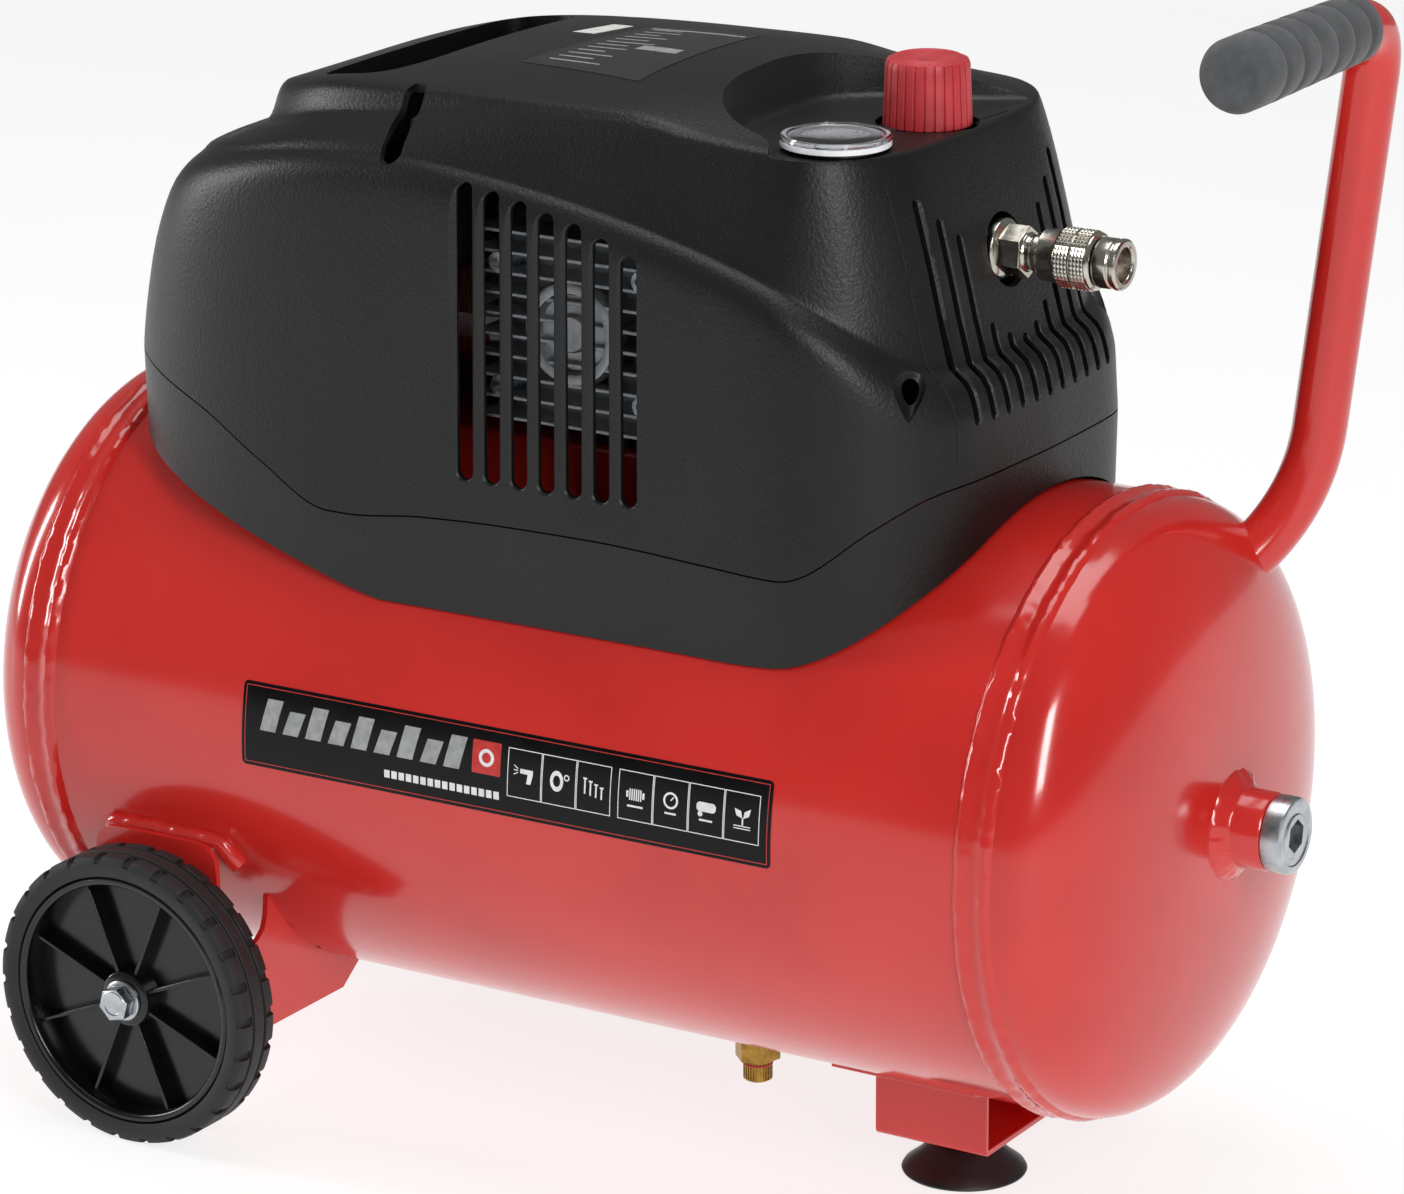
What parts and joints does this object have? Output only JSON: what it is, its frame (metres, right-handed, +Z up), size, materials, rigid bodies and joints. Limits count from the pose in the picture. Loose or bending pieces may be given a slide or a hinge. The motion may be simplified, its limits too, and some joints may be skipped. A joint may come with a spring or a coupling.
{
  "type": "air compressor",
  "caption": "Portable oil-free air compressor: horizontal red steel tank on wheels and a rubber foot, black plastic pump cover, gauge, regulator, hose coupler and tow handle.",
  "frame": {"origin": "on the floor, under the middle of the whole object's box", "axes": "+X along the tank towards the tow handle, +Y to the rear, away from the gauge, +Z up"},
  "size_m": [0.5732, 0.3196, 0.4952],
  "materials": {
    "red_enamel": "gloss red enamel over welded steel",
    "black_cover": "fine spark-eroded grain, satin black",
    "gloss_black": "smooth moulded black",
    "tyre": "matt black rubber tread",
    "black_rubber": "matt black moulded rubber",
    "grip_foam": "soft closed-cell foam, dark grey",
    "zinc_steel": "bright zinc plate",
    "brass": "machined brass",
    "nickel": "satin nickel plate",
    "cast_aluminium": "die-cast, slightly rough",
    "steel": "plain turned steel",
    "winding_lacquer": "laminations and lacquered copper winding",
    "red_plastic": "satin red moulding",
    "clear_lens": "clear polycarbonate",
    "needle_paint": "black lacquer"
  },
  "bodies": {
    "chassis": {"tank_barrel": "red_enamel", "tank_head_right": "red_enamel", "tank_head_left": "red_enamel", "bung_boss": "red_enamel", "bung_plug": "zinc_steel", "drain_boss": "red_enamel", "drain_body": "brass", "foot_pad": "black_rubber", "foot_screw": "zinc_steel", "foot_bracket": "red_enamel", "wheel_bolt_front": "zinc_steel", "wheel_bolt_rear": "zinc_steel", "wheel_washer_front": "zinc_steel", "wheel_washer_rear": "zinc_steel", "wheel_bracket_front": "red_enamel", "wheel_bracket_rear": "red_enamel", "handle_tube": "red_enamel", "handle_grip": "grip_foam", "cover_upper": "black_cover", "cover_skirt": "black_cover", "cover_screw_front_right": "steel", "cover_screw_rear_right": "steel", "cover_screw_front_left": "steel", "cover_screw_rear_left": "steel", "switch_housing": "gloss_black", "cable_gland": "black_rubber", "gauge_case": "gloss_black", "gauge_lens": "clear_lens", "regulator_body": "cast_aluminium", "coupler_body": "nickel", "pressure_switch": "black_cover", "safety_valve": "brass", "pump_saddle": "red_enamel", "rubber_mount_left": "black_rubber", "rubber_mount_right": "black_rubber", "crankcase": "cast_aluminium", "cylinder": "cast_aluminium", "cylinder_head": "cast_aluminium", "air_filter": "black_cover", "motor_stator": "winding_lacquer", "motor_end_bell": "cast_aluminium", "bearing_left": "steel", "bearing_right": "steel", "check_valve": "brass", "delivery_pipe": "cast_aluminium"},
    "wheel_front": {"wheel_tyre_front": "tyre", "wheel_rim_front": "gloss_black"},
    "wheel_rear": {"wheel_tyre_rear": "tyre", "wheel_rim_rear": "gloss_black"},
    "regulator_knob": {"regulator_knob": "red_plastic"},
    "coupler_sleeve": {"coupler_sleeve": "nickel"},
    "drain_knob": {"drain_knob": "brass"},
    "power_rocker": {"power_rocker": "red_plastic"},
    "gauge_needle": {"gauge_needle": "needle_paint"},
    "safety_ring": {"safety_ring": "steel"},
    "motor_rotor": {"motor_rotor": "steel", "motor_shaft": "steel", "crank_eccentric": "steel", "cooling_fan": "gloss_black"},
    "piston": {"piston_and_rod": "cast_aluminium"}
  },
  "joints": [
    {"name": "wheel_front_spin", "type": "hinge", "parent": "chassis", "child": "wheel_front", "pos_m": [-0.17742, -0.14, 0.0626], "axis": [0, 1, 0], "continuous": true},
    {"name": "wheel_rear_spin", "type": "hinge", "parent": "chassis", "child": "wheel_rear", "pos_m": [-0.17742, 0.14, 0.0626], "axis": [0, 1, 0], "continuous": true},
    {"name": "regulator_turn", "type": "hinge", "parent": "chassis", "child": "regulator_knob", "pos_m": [0.11522, 0, 0.45], "axis": [0, 0, 1], "range_deg": [-450, 450]},
    {"name": "coupler_release", "type": "slide", "parent": "chassis", "child": "coupler_sleeve", "axis": [-1, 0, 0], "range_m": [0, 0.003], "stiffness_N_per_m": 800, "springref_m": -0.003},
    {"name": "drain_turn", "type": "hinge", "parent": "chassis", "child": "drain_knob", "pos_m": [0.03703, 0, 0.025], "axis": [0, 0, 1], "range_deg": [0, 720]},
    {"name": "power_rock", "type": "hinge", "parent": "chassis", "child": "power_rocker", "pos_m": [0.06323, 0.1085, 0.341], "axis": [1, 0, 0], "range_deg": [0, 14]},
    {"name": "gauge_turn", "type": "hinge", "parent": "chassis", "child": "gauge_needle", "pos_m": [0.10823, -0.059, 0.439], "axis": [0, 0, -1], "range_deg": [0, 270], "stiffness_Nm_per_rad": 0.0002},
    {"name": "safety_pull", "type": "slide", "parent": "chassis", "child": "safety_ring", "axis": [0, -1, 0], "range_m": [0, 0.003], "stiffness_N_per_m": 500, "springref_m": -0.003},
    {"name": "motor_spin", "type": "hinge", "parent": "chassis", "child": "motor_rotor", "pos_m": [-0.01528, 0, 0.357], "axis": [1, 0, 0], "continuous": true},
    {"name": "piston_slide", "type": "slide", "parent": "chassis", "child": "piston", "axis": [0, 1, 0], "range_m": [0, 0.02]}
  ]
}
